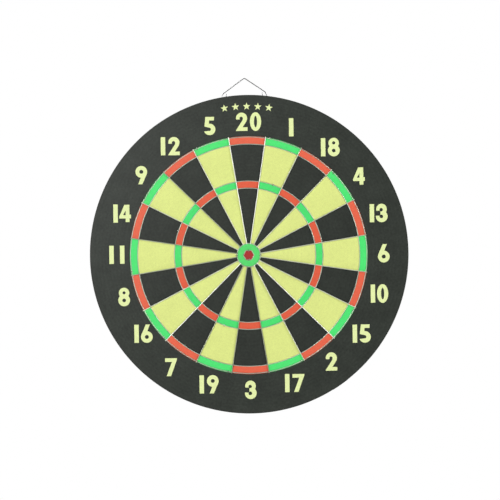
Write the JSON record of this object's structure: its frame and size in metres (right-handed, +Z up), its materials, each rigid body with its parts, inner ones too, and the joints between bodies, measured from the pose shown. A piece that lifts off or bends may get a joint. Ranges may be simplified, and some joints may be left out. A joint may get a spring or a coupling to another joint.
{
  "type": "dartboard",
  "caption": "Round wound-paper dartboard with a printed clock face, a raised welded wire spider and a swinging wire hanger behind its top edge.",
  "frame": {"origin": "centre of the rear facing's flat back, which rests on the wall", "axes": "+Z up, +Y out of the back towards the wall, so the face looks towards -Y and +X is to the player's right"},
  "size_m": [0.4571, 0.0294, 0.4845],
  "materials": {
    "wound_paper": "matte",
    "charcoal_flock": "matte",
    "backing_paper": "matte",
    "edge_tape": "satin",
    "yellow_flock": "matte",
    "green_flock": "matte",
    "red_flock": "matte",
    "bull_red_flock": "matte",
    "yellow_ink": "matte",
    "spider_wire": "satin",
    "staple_steel": "satin",
    "hanger_steel": "satin"
  },
  "bodies": {
    "board": {"wound_core": "wound_paper", "front_facing": "charcoal_flock", "rear_facing": "backing_paper", "rim_band": "edge_tape", "yellow_beds": "yellow_flock", "green_doubles": "green_flock", "red_doubles": "red_flock", "green_trebles": "green_flock", "red_trebles": "red_flock", "outer_bull_bed": "green_flock", "inner_bull_bed": "bull_red_flock", "numerals": "yellow_ink", "header_stars": "yellow_ink", "wire_inner_bull": "spider_wire", "spider_staples": "staple_steel", "hanger_staple_left": "staple_steel", "hanger_staple_right": "staple_steel", "wire_double_outer": "spider_wire", "wire_double_inner": "spider_wire", "wire_treble_outer": "spider_wire", "wire_treble_inner": "spider_wire", "wire_outer_bull": "spider_wire", "radial_wire_01": "spider_wire", "radial_wire_02": "spider_wire", "radial_wire_03": "spider_wire", "radial_wire_04": "spider_wire", "radial_wire_05": "spider_wire", "radial_wire_06": "spider_wire", "radial_wire_07": "spider_wire", "radial_wire_08": "spider_wire", "radial_wire_09": "spider_wire", "radial_wire_10": "spider_wire", "radial_wire_11": "spider_wire", "radial_wire_12": "spider_wire", "radial_wire_13": "spider_wire", "radial_wire_14": "spider_wire", "radial_wire_15": "spider_wire", "radial_wire_16": "spider_wire", "radial_wire_17": "spider_wire", "radial_wire_18": "spider_wire", "radial_wire_19": "spider_wire", "radial_wire_20": "spider_wire"},
    "hanger": {"hanger_wire": "hanger_steel"}
  },
  "joints": [
    {"name": "hanger_swing", "type": "hinge", "parent": "board", "child": "hanger", "pos_m": [-0.0025, 0.0005, 0.2215], "axis": [-1, 0, 0], "range_deg": [0, 175]}
  ]
}
